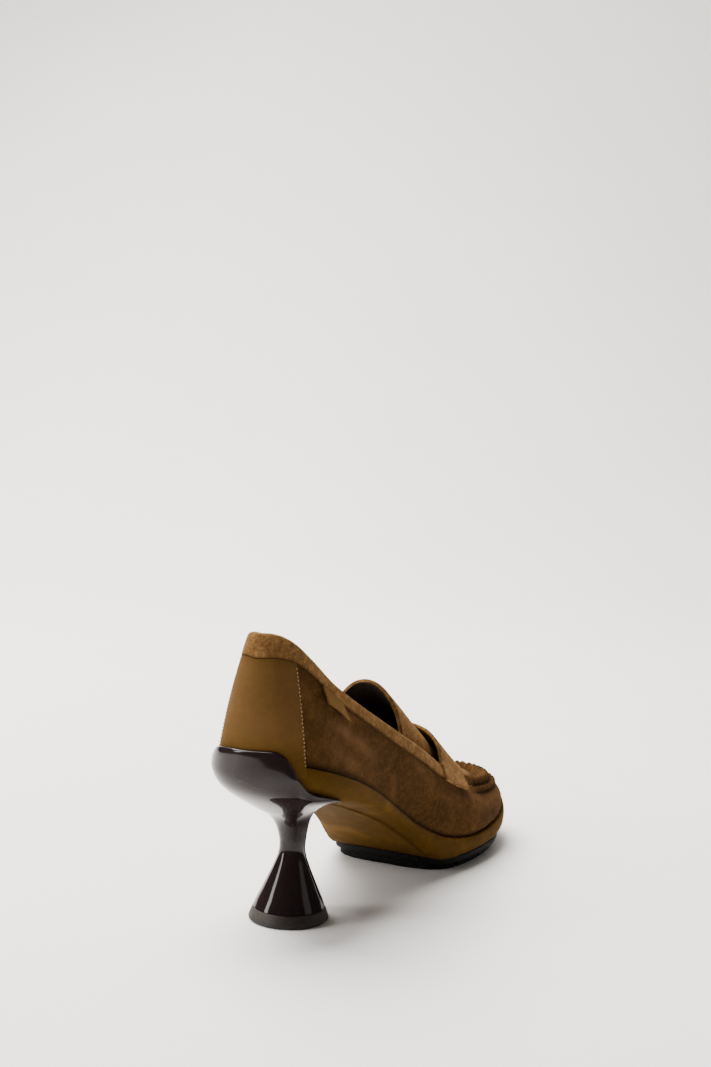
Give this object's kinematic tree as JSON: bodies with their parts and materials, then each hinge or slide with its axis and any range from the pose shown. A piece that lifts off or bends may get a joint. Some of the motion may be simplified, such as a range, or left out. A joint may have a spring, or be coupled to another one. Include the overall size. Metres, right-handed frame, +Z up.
{
  "type": "loafer pump",
  "caption": "Slip-on suede loafer pump with a plain saddle strap, a platform forefoot on lugs and a turned hourglass heel with a cup seat.",
  "frame": {"origin": "centre of the heel tip's flat bottom face, on the floor", "axes": "+X to the toe, +Y to the inner (medial) side, +Z up; the outer side is -Y"},
  "size_m": [0.2387, 0.08, 0.1305],
  "materials": {
    "upper": "brown suede",
    "counter": "tan nubuck",
    "collar_band": "light brown suede",
    "tab": "brown nubuck",
    "tongue": "brown suede, dark lining",
    "strap": "brown suede",
    "insole": "near-black lining leather",
    "platform": "olive tan nubuck wrap",
    "outsole": "matt charcoal",
    "heel": "high gloss, near-black aubergine",
    "heel_tip": "matt dark brown"
  },
  "bodies": {
    "root": {"upper": "upper", "counter": "counter", "collar_band": "collar_band", "tab": "tab", "tongue": "tongue", "strap": "strap", "insole": "insole", "platform": "platform", "outsole": "outsole", "heel": "heel", "heel_tip": "heel_tip"}
  },
  "joints": []
}
